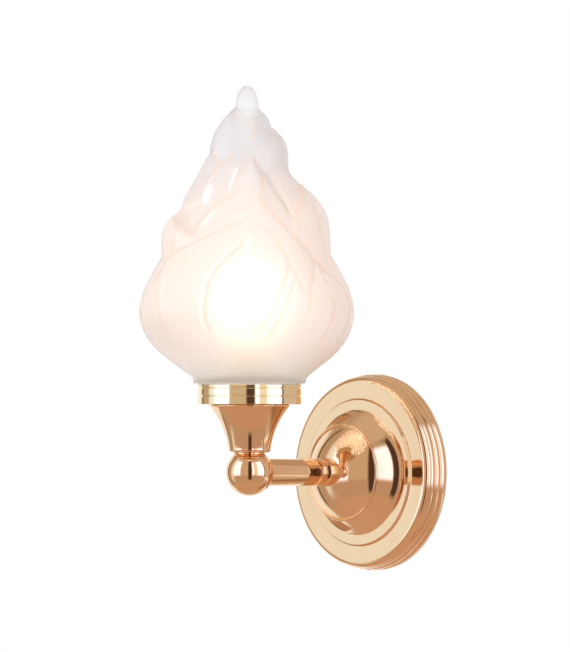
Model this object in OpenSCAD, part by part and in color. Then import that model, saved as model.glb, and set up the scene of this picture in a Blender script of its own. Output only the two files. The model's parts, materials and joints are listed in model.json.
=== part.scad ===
// Torch wall light. A round, reeded wall plate carries a short arm that ends in a ball. A flared cup
// stands on the ball, and a flame-shaped frosted glass screws into the ring on the cup, round a
// small globe lamp.
// Frame: the origin is the middle of the plate's back, on the wall. The light stands out along -Y,
// +Z is up and +X is to the right. Lengths are in millimetres.
// "Out" is a distance from the wall, and "up" a height above the arm's axis.

/* [Wall plate] */
// Diameter of the plate over its reeded rim
plate_d = 108; // [107:0.5:112]
// Thickness of the plate's and the dome's metal
plate_wall = 1.6; // [1.2:0.1:1.8]

/* [Arm] */
// Distance from the wall to the torch's upright axis
arm_reach = 98.5; // [94:0.5:110]
// Diameter of the arm tube
arm_d = 15; // [14:0.5:15.2]
// Diameter of the ball at the arm's end
ball_d = 26; // [25:0.5:28]

/* [Cup and ring] */
// Height of the cup's lip above the arm's axis
cup_top = 37.2; // [36.6:0.2:38.4]
// Radius of the cup's thin lip
lip_r = 21.5; // [21:0.1:22.5]
// Outside diameter of the ring that holds the glass
ring_d = 56.6; // [56.2:0.2:58]
// Height of the ring above the cup's lip
ring_h = 10.8; // [10.4:0.1:11.4]

/* [Glass] */
// Height of the glass above the ring
glass_h = 163; // [156:1:170]
// Radius of the glass at its widest
belly_r = 58.4; // [56:0.2:60]
// Thickness of the glass
glass_wall = 3; // [2.5:0.1:3.2]
// Radius of the glass's neck, inside the ring
neck_r = 26; // [25.8:0.1:26.2]

/* [Lamp] */
// Diameter of the lamp's globe
globe_d = 45; // [40:1:45]
// Length of the lamp from the tip of its cap to the top of its globe
lamp_length = 80; // [76:1:82]

/* [Wall fixing] */
// Distance between the middles of the two wall slots
slot_spacing = 60; // [56:1:62]
// Width of each wall slot
slot_w = 4.5; // [4:0.1:5.5]
// Length of each wall slot, end to end
slot_l = 12; // [10:0.5:14]

/* [Hidden] */
$fn = 96;
cut = 0.5;            // how far a cutting shape runs past what it cuts
fit = 0.05;           // radial clearance of a screwed or sliding fit

// wall plate, as radii and distances out from the wall
plate_r = plate_d / 2;
REEDS = [[3.6, 2, 3.6], [3.7, 5.85, 3.4], [4, 9.3, 3.05]]; // arc centre in from the rim, out, arc radius
rim_round_r = 3.4;
face_r = plate_r - 4.9;
face_out = 14.4;
step_outer_r = plate_r - 13.4;
step_inner_r = plate_r - 14.2;
step_out = 16;
cove_r = plate_r - 19.2;
cone_r = plate_r - 21.2;
cone_out = step_out + 1.2;
rim_bore_r = plate_r - 4.4;
dome_r = 26;
dome_seat_out = 26.3;
bead_r = 0.45;
dome_top_out = 38.3;
dome_boss_r = 9;
cone_slope = (cone_r - dome_r) / (dome_seat_out - cone_out);
cone_skin = plate_wall * norm([1, cone_slope]);     // the cone's wall, measured level

// threaded hollow rods and their nuts
rod_r = 5;
rod_bore_r = 3.5;
rod_hole_r = rod_r + fit;
nut_flats = 14;
nut_h = 3;
washer_r = 11;
washer_h = 1;
stud_back_out = dome_seat_out - plate_wall - washer_h - nut_h;

// arm
ferrule_r = arm_d / 2 + 0.2;
ferrule_out = dome_top_out + 8.6;
ferrule_groove = 0.5;
dome_low_out = dome_seat_out + bead_r;
dome_middle_out = (pow(dome_top_out, 2) + pow(ferrule_r, 2) - pow(dome_low_out, 2) - pow(dome_r, 2))
    / (2 * (dome_top_out - dome_low_out));
dome_arc_r = norm([dome_r, dome_low_out - dome_middle_out]);
arm_wall = 1.2;
ball_r = ball_d / 2;
ball_room_r = 6.5;
collar_r = 8.4;
collar_h = 1;
ball_flat_up = sqrt(ball_r * ball_r - collar_r * collar_r);
tube_end_out = arm_reach - sqrt(ball_r * ball_r - arm_d * arm_d / 4);
rod_gap = 6.3;        // from the ball's middle to the ends of both rods

// cup and ring
cup_foot_up = ball_flat_up + collar_h;
cup_foot_r = 10.1;
cup_foot_round = 1.4;
cup_wall = 1.5;
cup_floor_up = cup_foot_up + 3.5;
flare_low = [cup_foot_r + cup_foot_round, cup_foot_up + cup_foot_round];
flare_high = [lip_r - 0.5, cup_top - 3.6];
flare_rise = 1.25;
flare_r = arc_r(norm(flare_high - flare_low), flare_rise);
flare_middle = arc_middle(flare_low, flare_high, flare_rise);
lip_round = 0.7;
ring_wall = 1.4;
ring_floor = 1.2;
ring_hole_r = 18;
ring_grooves = [4.6, 9]; // up from the cup's lip
ring_groove_r = 0.5;
ring_top = cup_top + ring_h;
seal_h = 0.5;
seal_r = [neck_r + 0.3, ring_d / 2 - 0.3];

// lamp holder
entry_up = cup_floor_up + nut_h;
holder_r = 12.2;
holder_up = entry_up + 7;
holder_floor_up = entry_up + 15.6;
holder_top = entry_up + 36.6;
holder_bore_r = 8.4;
holder_wire_x = 3.5;
holder_screw_y = 5;
contact_t = 0.5;
contact_rise = 3;
tongue_w = 4;
shell_r = 7.5;

// lamp
lamp_tip_up = holder_floor_up + contact_rise;
cap_r = 6.9;
cap_inner_r = 5.7;
cap_collar_r = 8;
lamp_tip_r = 3;
lamp_tip_h = 1.2;
cap_low = lamp_tip_up + 3.6;
cap_collar_up = lamp_tip_up + 18;
cap_top = lamp_tip_up + 21;
thread_pitch = 2.82;
thread_depth = 0.4;
globe_r = globe_d / 2;
globe_up = lamp_tip_up + lamp_length - globe_r;
globe_neck = [8.2, cap_top + 5];
globe_wall = 0.8;

// wall fixing and terminals, as distances out from the wall and heights above the arm's axis
bracket_t = 1.5;
bracket_w = 22;
bracket_reach = 46;
bracket_shoulder = 8;
bracket_arm = [84, 18];
tab_w = 12;
tab_out = 9;
grommet_up = 20;
grommet_r = 7;
grommet_bore_r = 4.5;
grommet_flange_r = 8.5;
grommet_flange = 2;
grub_out = 5.85;
grub_r = 2;
grub_l = plate_r - 0.9 - bracket_reach;
block_w = 26;
block_t = 9.5;
block_h = 10;
block_up = -32;
ways = [-8, 0, 8];
way_out = 6;
way_tube_r = 2.3;
way_bore_r = 1.6;
way_screw_ups = [2.5, 7.5];
block_screw_x = 4;
earth_x = -14;
tag_t = 0.8;

// glass: the leaves of the flame. Heights are above the ring and belong to a glass 164 high and
// 58.4 in radius. Angles are seen from above, counted from the side that faces right and out.
flame_design = [164, 58.4];
flame_turn = -44.25;
neck_low = 8.5;
shoulder_r = 30.7;
shoulder_h = 4.5;
shoulder_slope = 2;
shoulder_blend = 1.5;
flame_lean = 1.4;     // how far the blown glass leans off the ring's axis
flame_lean_h = 40;    // height at which it has leaned all that way
tip_r = 6;
tip_low = 151.5;
tip_length = 12.6;
belly_h = 39.5;
belly_reach = 38.5;   // half height of the ellipse that the belly follows downwards
belly_foot = 26;      // drop below the widest place at which the belly goes on as a cone
belly_cone = 1.36;
upper_reach = 90;
leaf_slope = 1.1;     // how steeply the surface falls in behind a leaf's edge
leaf_round = 0.11;    // how blunt a leaf's point is
leaf_least = 3;
leaf_blend = 1.6;
edge_blend = 2.5;
fold_low = 13.5;      // height at which the folds between leaves begin, and the height they take to deepen
fold_rise = 26;
fold_from = 0.9;      // part of a leaf's half width at which its side turns in
belly_fold = 4;
upper_fold = 12;
// height, radius of the flame under its leaves
ENVELOPE = [
    [51.5, 45], [63.5, 44.2], [76.5, 42.6], [88.5, 39.8], [96.5, 36.6], [101.5, 33.8], [107.5, 29.8],
    [113.5, 26], [119.5, 23], [127.5, 20], [135.5, 16.2], [141.5, 13], [147.5, 9.6], [153.5, 6.6],
    [159.5, 4.5], [164, 1]
];
// direction, tip height, half widths left and right, edge heights left and right, widest radius,
// its height, how far the edge stands out, how much the leaf is crowned, how much it bows out
LEAVES = [
    [10, 100.5, 74, 66, 68.5, 61.5, 58.4, 39.5, 2.4, 1, 1.8],
    [126, 81.5, 62, 62, 59.5, 57.5, 58.6, 39.5, 0.8, 1, 1.8],
    [-126, 81.5, 60, 60, 57.5, 59.5, 59.2, 39.5, 0.8, 1, 1.8],
    [-4, 126.5, 50, 30, 85.5, 96.5, 45.4, 76.5, 1.2, 0.8, 1.6],
    [-92, 93.5, 46, 50, 80.5, 80.5, 46.7, 77.5, 1, 0.6, 2.6],
    [76, 110.5, 48, 60, 82.5, 85.5, 45.5, 75.5, 0.6, 0.8, 3.2],
    [180, 109.5, 62, 62, 82.5, 82.5, 46, 76.5, 1, 0.8, 2],
    [-62, 128.5, 60, 46, 100.5, 112.5, 34.9, 99.5, 1, 0.6, 1.1],
    [-120, 122.5, 50, 50, 99.5, 99.5, 35, 99.5, 0.8, 0.6, 1.3],
    [88, 141, 70, 70, 130.5, 128.5, 22.3, 124.5, 0, 0.2, 2.6],
    [160, 130.5, 60, 60, 108.5, 108.5, 30, 101.5, 0.8, 0.5, 1.5],
    [-74, 152.5, 90, 100, 141.5, 141.5, 20.3, 127.5, 0.8, 0.3, 1.8],
    [95, 150.5, 80, 70, 144.5, 144.5, 12.6, 142.5, 0, 0.2, 2.2]
];
glass_inside_low = 4;
glass_inside_top = 146;
glass_top_wall = 15;
glass_sides = 60;
glass_rings = 44;
glass_inner_rings = 22;

// internal leads: points of each route as [x, out, up]
wire_r = 0.9;
wire_sides = 8;
wire_steps = 3;
lead_x = 1.3;
ball_bend = 5;
LIVE_TAIL = [[2, 11, -2], [4, 8.5, -7], [7, 6.5, -14], [8, 6, -20], [8, 6, -25.5]];
NEUTRAL_TAIL = [[-1.2, 11, -2], [-0.6, 8.5, -7], [0, 6.5, -14], [0, 6, -20], [0, 6, -25.5]];
EARTH_ROUTE = [
    [-14, 3.2, -10.5], [-14, 3.2, -13.8], [-14, 3.2, -14.7], [-12, 4.4, -17.4], [-9, 5.8, -19.4],
    [-8, 6, -21.6], [-8, 6, -25.5]
];

// ---------------------------------------------------------------- helpers

// turns a form drawn up +Z so that it points out from the wall
module out_from_wall() {
    rotate([90, 0, 0]) children();
}

// moves a form onto the torch's upright axis
module on_torch() {
    translate([0, -arm_reach, 0]) children();
}

// plain turned ring
module ring(outer, inner, low, high) {
    translate([0, 0, low]) difference() {
        cylinder(r = outer, h = high - low);
        translate([0, 0, -cut]) cylinder(r = inner, h = high - low + 2 * cut);
    }
}

module hex_nut(low) {
    translate([0, 0, low]) difference() {
        cylinder(r = nut_flats / sqrt(3), h = nut_h, $fn = 6);
        translate([0, 0, -cut]) cylinder(r = rod_hole_r, h = nut_h + 2 * cut);
    }
}

screw_slot = 0.6;
terminal_screw = [1.25, 1.7, 1.8];   // shank radius, head radius, head height
block_screw_size = [1.45, 2.6, 1.4];
earth_screw_size = [1.95, 3.6, 2.2];
holder_screw_size = [1.45, 2, 1.4];
screw_hole_r = 1.5;

// slotted screw, its head upwards
module slotted_screw(size, low, head_low) {
    head_r = size[1];
    head_h = size[2];
    difference() {
        union() {
            translate([0, 0, low]) cylinder(r = size[0], h = head_low - low + head_h / 2);
            translate([0, 0, head_low]) cylinder(r = head_r, h = head_h);
        }
        translate([-head_r - cut, -screw_slot / 2, head_low + head_h / 2])
            cube([2 * (head_r + cut), screw_slot, head_h]);
    }
}

// radius of the arc that bulges by rise over a chord
function arc_r(chord, rise) = (chord * chord / 4 + rise * rise) / (2 * rise);

// middle of the arc from a to b that bulges by rise, on its hollow side
function arc_middle(a, b, rise) =
    (a + b) / 2 + (arc_r(norm(b - a), rise) - rise) * [b[1] - a[1], a[0] - b[0]] / norm(b - a);

// ---------------------------------------------------------------- wall plate

module wall_plate() {
    face_back = face_out - plate_wall;
    step_back = step_out - plate_wall;
    color("peru") difference() {
        out_from_wall() rotate_extrude() difference() {
            intersection() {
                translate([rod_hole_r, 0]) square([plate_r, dome_seat_out]);
                union() {
                    for (reed = REEDS) translate([plate_r - reed[0], reed[1]]) circle(r = reed[2]);
                    translate([face_r, face_out - rim_round_r]) circle(r = rim_round_r);
                    polygon([
                        [0, 0], [plate_r - 3, 0], [plate_r - 3, face_out - rim_round_r], [face_r, face_out],
                        [step_outer_r, face_out], [step_inner_r, step_out], [cove_r, step_out],
                        [cone_r, cone_out], [dome_r, dome_seat_out], [0, dome_seat_out]
                    ]);
                }
            }
            polygon([
                [0, -cut], [rim_bore_r, -cut], [rim_bore_r, face_back - 3], [rim_bore_r - 3, face_back],
                [step_outer_r - 1, face_back], [step_inner_r - 1, step_back],
                [cone_r + cone_slope * (cone_out - step_back) - cone_skin, step_back],
                [dome_r + cone_slope * plate_wall - cone_skin, dome_seat_out - plate_wall],
                [0, dome_seat_out - plate_wall]
            ]);
        }
        for (side = [-1, 1]) translate([0, -grub_out, side * plate_r])
            cylinder(r = grub_r + fit, h = 12, center = true);
    }
}

module dome_cap() {
    color("peru") out_from_wall() rotate_extrude() difference() {
        intersection() {
            union() {
                translate([0, dome_middle_out]) circle(r = dome_arc_r);
                translate([dome_r, dome_seat_out + bead_r]) circle(r = bead_r);
            }
            translate([rod_hole_r, dome_seat_out])
                square([dome_r - rod_hole_r + bead_r, dome_top_out - dome_seat_out]);
        }
        intersection() {
            translate([0, dome_middle_out]) circle(r = dome_arc_r - plate_wall);
            translate([dome_boss_r, dome_seat_out - cut]) square([dome_r, dome_top_out]);
        }
    }
}

module wall_gasket() {
    color("dimgray") out_from_wall() ring(rim_bore_r - 0.1, rim_bore_r - 2.8, 0, 3);
}

module plate_grub_screws() {
    color("silver") for (side = [-1, 1]) {
        translate([0, -grub_out, side * bracket_reach]) rotate([side < 0 ? 180 : 0, 0, 0]) difference() {
            cylinder(r = grub_r, h = grub_l);
            translate([0, 0, grub_l - 2]) cylinder(r = 1.15, h = 2 + cut, $fn = 6);
        }
    }
}

// ---------------------------------------------------------------- wall fixing

module wall_slot() {
    straight = slot_l - slot_w;
    for (side = [-1, 1]) translate([side * straight / 2, 0]) circle(d = slot_w);
    square([straight, slot_w], center = true);
}

module mounting_bracket() {
    color("gainsboro") out_from_wall() {
        linear_extrude(height = bracket_t) difference() {
            union() {
                square([bracket_w, 2 * bracket_reach - bracket_shoulder], center = true);
                square([tab_w, 2 * bracket_reach], center = true);
                square(bracket_arm, center = true);
            }
            for (side = [-1, 1]) translate([side * slot_spacing / 2, 0]) wall_slot();
            translate([0, grommet_up]) circle(r = grommet_r);
            translate([earth_x, 0]) circle(r = earth_screw_size[0] + fit);
            translate([block_screw_x, block_up + block_h / 2]) circle(r = screw_hole_r);
        }
        for (side = [-1, 1])
            translate([-tab_w / 2, side * (bracket_reach - bracket_t / 2) - bracket_t / 2, 0])
                cube([tab_w, bracket_t, tab_out]);
    }
}

module cable_grommet() {
    color("dimgray") out_from_wall() translate([0, grommet_up, 0]) difference() {
        union() {
            cylinder(r = grommet_r - fit, h = bracket_t + 1);
            translate([0, 0, bracket_t]) cylinder(r = grommet_flange_r, h = grommet_flange);
        }
        translate([0, 0, -cut]) cylinder(r = grommet_bore_r, h = bracket_t + grommet_flange + 2 * cut);
    }
}

module terminal_block() {
    color("white") out_from_wall() difference() {
        translate([-block_w / 2, block_up, bracket_t]) cube([block_w, block_h, block_t]);
        for (x = ways) {
            translate([x, block_up - cut, way_out]) rotate([-90, 0, 0])
                cylinder(r = way_tube_r + fit, h = block_h + 2 * cut);
            for (up = way_screw_ups)
                translate([x, block_up + up, way_out]) cylinder(r = terminal_screw[1] + 0.2, h = block_t);
        }
        translate([block_screw_x, block_up + block_h / 2, 0]) cylinder(r = screw_hole_r, h = 2 * block_t);
    }
}

module terminal_tubes() {
    color("goldenrod") out_from_wall() for (x = ways) difference() {
        translate([x, block_up + 1, way_out]) rotate([-90, 0, 0]) difference() {
            cylinder(r = way_tube_r, h = block_h - 2);
            translate([0, 0, -cut]) cylinder(r = way_bore_r, h = block_h);
        }
        for (up = way_screw_ups)
            translate([x, block_up + up, way_out]) cylinder(r = terminal_screw[0] + fit, h = 2 * way_tube_r);
    }
}

module terminal_screws() {
    color("silver") out_from_wall() for (x = ways, up = way_screw_ups)
        translate([x, block_up + up, 0])
            slotted_screw(terminal_screw, way_out + 1, way_out + way_tube_r + 0.1);
}

module block_screw() {
    color("silver") out_from_wall() translate([block_screw_x, block_up + block_h / 2, 0])
        slotted_screw(block_screw_size, 0.2, bracket_t + block_t);
}

module earth_screw() {
    color("goldenrod") out_from_wall() translate([earth_x, 0, 0])
        slotted_screw(earth_screw_size, 0.1, bracket_t + tag_t);
}

module earth_tag() {
    eye_r = 4.2;
    tongue = [3, 11];
    barrel_r = 1.5;
    barrel_l = 4.5;
    barrel_up = -9;
    color("silver") out_from_wall() translate([earth_x, 0, bracket_t]) difference() {
        union() {
            cylinder(r = eye_r, h = tag_t);
            translate([-tongue[0] / 2, -tongue[1], 0]) cube([tongue[0], tongue[1] - eye_r / 2, tag_t]);
            translate([0, barrel_up, wire_r + tag_t]) rotate([90, 0, 0])
                cylinder(r = barrel_r, h = barrel_l);
        }
        translate([0, 0, -cut]) cylinder(r = earth_screw_size[0] + fit, h = tag_t + 2 * cut);
        translate([0, barrel_up + 1, wire_r + tag_t]) rotate([90, 0, 0])
            cylinder(r = wire_r + fit, h = barrel_l + 2);
    }
}

// ---------------------------------------------------------------- arm

module hollow_rod(low, high) {
    ring(rod_r, rod_bore_r, low, high);
}

module arm_stud() {
    color("silver") out_from_wall() hollow_rod(stud_back_out - 3, arm_reach - rod_gap);
}

module stud_nut() {
    color("silver") out_from_wall() hex_nut(stud_back_out);
}

module stud_washer() {
    low = stud_back_out + nut_h;
    color("silver") out_from_wall() ring(washer_r, rod_hole_r, low, low + washer_h);
}

module arm_ferrule() {
    color("peru") out_from_wall() difference() {
        ring(ferrule_r, rod_hole_r, dome_top_out, ferrule_out);
        translate([0, 0, ferrule_out - 2 * ferrule_groove])
            ring(ferrule_r + cut, ferrule_r - ferrule_groove, 0, ferrule_groove);
    }
}

module arm_tube() {
    color("peru") out_from_wall() ring(arm_d / 2, arm_d / 2 - arm_wall, ferrule_out, tube_end_out);
}

module ball_knuckle() {
    color("peru") on_torch() difference() {
        sphere(r = ball_r);
        translate([-ball_r, -ball_r, ball_flat_up]) cube(2 * ball_r);
        translate([-ball_r, arm_reach - tube_end_out, -ball_r]) cube(2 * ball_r);
        sphere(r = ball_room_r);
        cylinder(r = rod_hole_r, h = ball_r);
        rotate([-90, 0, 0]) cylinder(r = rod_hole_r, h = ball_r);
    }
}

// ---------------------------------------------------------------- cup and ring

module neck_collar() {
    color("peru") on_torch() ring(collar_r, rod_hole_r, ball_flat_up, cup_foot_up);
}

module cup_nipple() {
    color("silver") on_torch() hollow_rod(rod_gap, entry_up + 3);
}

module cup_nut() {
    color("silver") on_torch() hex_nut(cup_floor_up);
}

module torch_cup() {
    color("peru") on_torch() rotate_extrude() difference() {
        union() {
            difference() {
                translate([0, flare_low[1]]) square([flare_high[0], cup_top - flare_low[1]]);
                translate(flare_middle) circle(r = flare_r);
            }
            translate([0, cup_top - 2 * lip_round]) square([lip_r - lip_round, 2 * lip_round]);
            translate([lip_r - lip_round, cup_top - lip_round]) circle(r = lip_round);
            translate([0, cup_foot_up]) square([cup_foot_r, 2 * cup_foot_round]);
            translate([cup_foot_r, cup_foot_up + cup_foot_round]) circle(r = cup_foot_round);
        }
        difference() {
            translate([0, cup_floor_up]) square([flare_high[0] - 1, cup_top]);
            translate(flare_middle) circle(r = flare_r + cup_wall);
        }
        translate([0, cup_foot_up - cut]) square([rod_hole_r, cup_top]);
    }
}

module gallery_ring() {
    color("khaki") on_torch() rotate_extrude() difference() {
        translate([ring_hole_r, cup_top]) square([ring_d / 2 - ring_hole_r, ring_h]);
        translate([0, cup_top + ring_floor]) square([ring_d / 2 - ring_wall, ring_h]);
        for (up = ring_grooves)
            translate([ring_d / 2 + ring_groove_r / 4, cup_top + up]) circle(r = ring_groove_r);
    }
}

// ---------------------------------------------------------------- lamp holder

module holder_cap() {
    color("silver") on_torch() rotate_extrude() polygon([
        [rod_hole_r, entry_up], [9.4, entry_up], [holder_r, holder_up - 2], [holder_r, holder_up],
        [holder_r - 1, holder_up], [holder_r - 1, holder_up - 1.6],
        [8.6, entry_up + nut_h], [rod_hole_r, entry_up + nut_h]
    ]);
}

module holder_body() {
    floor_t = holder_floor_up - holder_up;
    color("white") on_torch() difference() {
        translate([0, 0, holder_up]) cylinder(r = holder_r, h = holder_top - holder_up);
        translate([0, 0, holder_floor_up]) cylinder(r = holder_bore_r, h = holder_top);
        for (side = [-1, 1]) {
            translate([side * holder_wire_x, 0, holder_up - cut])
                cylinder(r = wire_r + 0.3, h = floor_t + 2 * cut);
            translate([0, side * holder_screw_y, holder_up + 1])
                cylinder(r = screw_hole_r, h = floor_t);
        }
    }
}

// rings that stand for a rolled thread, from a height upwards
module thread_rings(outer, inner, low, turns) {
    for (turn = [0:turns - 1])
        ring(outer, inner, low + (turn + 0.3) * thread_pitch, low + (turn + 0.7) * thread_pitch);
}

module holder_shell() {
    low = holder_floor_up + 4;
    turns = 4;
    tongue_out = shell_r + 0.5;
    color("silver") on_torch() difference() {
        union() {
            ring(shell_r + 0.4, shell_r, low, low + turns * thread_pitch);
            thread_rings(shell_r + 0.7, shell_r + 0.2, low, turns);
            translate([-tongue_w / 2, -tongue_out, holder_floor_up])
                cube([tongue_w, contact_t, low - holder_floor_up + 1]);
            translate([-tongue_w / 2, -tongue_out, holder_floor_up]) cube([tongue_w, 5, contact_t]);
        }
        translate([0, -holder_screw_y, holder_floor_up - cut])
            cylinder(r = screw_hole_r, h = contact_t + 2 * cut);
    }
}

module holder_contact() {
    bend_y = 2.4;
    color("goldenrod") on_torch() difference() {
        union() {
            translate([-tongue_w / 2, bend_y, holder_floor_up]) cube([tongue_w, 4.8, contact_t]);
            translate([-tongue_w / 2, bend_y, holder_floor_up]) cube([tongue_w, contact_t, contact_rise]);
            translate([-tongue_w / 2, -tongue_w / 2, holder_floor_up + contact_rise - contact_t])
                cube([tongue_w, tongue_w / 2 + bend_y + contact_t, contact_t]);
        }
        translate([0, holder_screw_y, holder_floor_up - cut])
            cylinder(r = screw_hole_r, h = contact_t + 2 * cut);
    }
}

module holder_screws() {
    color("silver") on_torch() for (side = [-1, 1]) translate([0, side * holder_screw_y, 0])
        slotted_screw(holder_screw_size, holder_up + 1.5, holder_floor_up + contact_t);
}

// ---------------------------------------------------------------- lamp

module lamp_contact() {
    color("silver") on_torch() intersection() {
        translate([0, 0, lamp_tip_up + lamp_tip_r]) sphere(r = lamp_tip_r);
        translate([0, 0, lamp_tip_up]) cylinder(r = lamp_tip_r, h = lamp_tip_h);
    }
}

module lamp_insulator() {
    low = lamp_tip_up + lamp_tip_h;
    color("black") on_torch() translate([0, 0, low]) cylinder(r1 = 2.8, r2 = 6.2, h = cap_low - low);
}

module lamp_cap() {
    turns = floor((cap_collar_up - cap_low) / thread_pitch);
    color("silver") on_torch() {
        ring(cap_r - thread_depth, cap_inner_r, cap_low, cap_collar_up + 0.1);
        thread_rings(cap_r, cap_inner_r, cap_low, turns);
        ring(cap_collar_r, cap_inner_r, cap_collar_up, cap_top);
    }
}

// globe and neck of the lamp, drawn in by inset for the inside
module envelope_outline(inset) {
    neck = globe_neck - [inset, 0];
    r = globe_r - inset;
    drop = [neck[0], neck[1] - globe_up];
    turn = atan2(drop[1], drop[0]) + acos(r / norm(drop));
    intersection() {
        translate([0, cap_top - (inset > 0 ? cut : 0)]) square([globe_r, 3 * globe_r]);
        union() {
            translate([0, globe_up]) circle(r = r);
            polygon([
                [0, cap_top - 1], [neck[0], cap_top - 1], neck,
                [r * cos(turn), globe_up + r * sin(turn)], [0, globe_up]
            ]);
        }
    }
}

module lamp_envelope() {
    color("white") on_torch() rotate_extrude() difference() {
        envelope_outline(0);
        envelope_outline(globe_wall);
    }
}

module lamp_filaments() {
    length = 0.58 * globe_d;
    low = globe_up - 0.54 * length;
    strip_x = 6;
    stem_foot = cap_top - 2;
    color("gold") on_torch() {
        translate([0, 0, stem_foot]) cylinder(r = 2.6, h = low - stem_foot);
        translate([0, 0, low - 1]) cylinder(r = 0.6, h = length + 2);
        for (turn = [0:90:270]) rotate([0, 0, turn]) {
            translate([strip_x, 0, low]) cylinder(r = 0.8, h = length);
            for (up = [low, low + length])
                translate([0, 0, up]) rotate([0, 90, 0]) cylinder(r = 0.4, h = strip_x);
        }
    }
}

// ---------------------------------------------------------------- glass

glass_foot = ring_top + seal_h;
high_k = glass_h / flame_design[0];
wide_k = belly_r / flame_design[1];

// the part of v above zero, with its corner rounded
function above(v, soft) = (v + sqrt(v * v + soft * soft)) / 2;
function blend(a, b, soft) = b + above(a - b, soft);
function clamp(v, low, high) = max(low, min(high, v));
function half_turn(a) = a - 360 * floor((a + 180) / 360);

// how a leaf draws in below its widest place, as the radius at a drop below it
function belly_r_below(wide, drop) =
    wide * sqrt(1 - pow(min(drop, belly_foot) / belly_reach, 2)) - belly_cone * max(drop - belly_foot, 0);
function upper_r_below(wide, drop) = wide * sqrt(max(1 - pow(drop / upper_reach, 2), 0));

// radius of one leaf of the flame in a direction, at a height above the ring
function leaf_r(leaf, dir, h) =
    let (
        low = leaf[7],
        belly = low <= belly_h,
        off = half_turn(dir - leaf[0]),
        part = off / (off < 0 ? leaf[2] : leaf[3]),
        across = sqrt(part * part + leaf_round * leaf_round) - leaf_round,
        side = off < 0 ? leaf[4] : leaf[5],
        least = low + leaf_least,
        edge = least + above(leaf[1] - (leaf[1] - side) * across - least, edge_blend),
        edge_r = lookup(edge, ENVELOPE) + leaf[8],
        climb = clamp((h - low) / (edge - low), 0, 1),
        drop = max(low - h, 0),
        below = belly ? belly_r_below(leaf[6], drop) : upper_r_below(leaf[6], drop),
        fold = clamp((h - fold_low) / fold_rise, 0, 1),
        past = max(across - fold_from, 0)
    )
    (h < low ? below : leaf[6] - (leaf[6] - edge_r) * pow(climb, leaf[10]))
    - leaf_slope * above(h - edge, leaf_blend)
    - fold * (leaf[9] * across * across + (belly ? belly_fold : upper_fold) * past * past);

function tip_radius(h) = tip_r * sqrt(max(1 - pow(max(h - tip_low, 0) / tip_length, 2), 0));

function leaves_r(dir, h, i) =
    i < 0 ? tip_radius(h) : blend(leaves_r(dir, h, i - 1), leaf_r(LEAVES[i], dir, h), leaf_blend);

// radius of the whole flame
function flame_r(dir, h) =
    let (shoulder = shoulder_r - shoulder_slope * max(h - shoulder_h, 0))
    blend(leaves_r(dir, h, len(LEAVES) - 1), shoulder, shoulder_blend);

// middle of the glass at a height above the ring
function flame_axis(h) =
    let (lean = flame_lean * clamp(h / flame_lean_h, 0, 1))
    [-lean * cos(flame_turn + 90), -lean * sin(flame_turn + 90), glass_foot + high_k * h];

// a point of the glass, inset from its outside
function flame_point(dir, h, inset) =
    let (r = wide_k * flame_r(dir, h) - inset, world = dir + flame_turn)
    [r * cos(world), r * sin(world), 0] + flame_axis(h);

glass_dirs = [for (s = [0:glass_sides - 1]) s * 360 / glass_sides];

function glass_ring(h, inset) = [for (dir = glass_dirs) flame_point(dir, h, inset)];

function plain_ring(r, up) =
    [for (dir = glass_dirs) [r * cos(dir + flame_turn), r * sin(dir + flame_turn), up]];

// triangles that join each ring of points to the next
function band_faces(rings, sides) = [
    for (i = [0:rings - 2], j = [0:sides - 1])
        let (a = i * sides + j, b = i * sides + (j + 1) % sides)
        each [[a, a + sides, b + sides], [a, b + sides, b]]
];

module glass_shade() {
    top = flame_design[0];
    neck_foot = glass_foot - neck_low;
    bore_r = neck_r - glass_wall;
    inside_step = (glass_inside_top - glass_inside_low) / (glass_inner_rings - 1);
    inside = [for (i = [glass_inner_rings - 1:-1:0])
        glass_ring(glass_inside_low + inside_step * i, glass_wall)];
    neck = [
        plain_ring(bore_r, glass_foot + 1), plain_ring(bore_r, neck_foot),
        plain_ring(neck_r, neck_foot), plain_ring(neck_r, glass_foot)
    ];
    outside = [for (i = [0:glass_rings - 1]) glass_ring(top * i / glass_rings, 0)];
    rings = concat(inside, neck, outside);
    inner_end = len(rings) * glass_sides;
    last_ring = inner_end - glass_sides;
    lids = [for (j = [0:glass_sides - 1]) let (next = (j + 1) % glass_sides) each [
        [inner_end, j, next],
        [last_ring + j, inner_end + 1, last_ring + next]
    ]];
    ends = [flame_axis(top - glass_top_wall), flame_axis(top)];
    color("linen") on_torch() polyhedron(
        points = concat([for (points = rings) each points], ends),
        faces = concat(band_faces(len(rings), glass_sides), lids)
    );
}

module glass_seal() {
    color("dimgray") on_torch() ring(seal_r[1], seal_r[0], ring_top, glass_foot);
}

// ---------------------------------------------------------------- leads

// point of a smooth curve through b and c, at t from 0 to 1
function between(a, b, c, d, t) =
    (2 * b + t * (c - a) + t * t * (2 * a - 5 * b + 4 * c - d) + t * t * t * (3 * b - a - 3 * c + d)) / 2;

function smooth_route(route) = concat(
    [for (i = [0:len(route) - 2], k = [0:wire_steps - 1]) between(
        route[max(i - 1, 0)], route[i], route[i + 1], route[min(i + 2, len(route) - 1)], k / wire_steps
    )],
    [route[len(route) - 1]]
);

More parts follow.
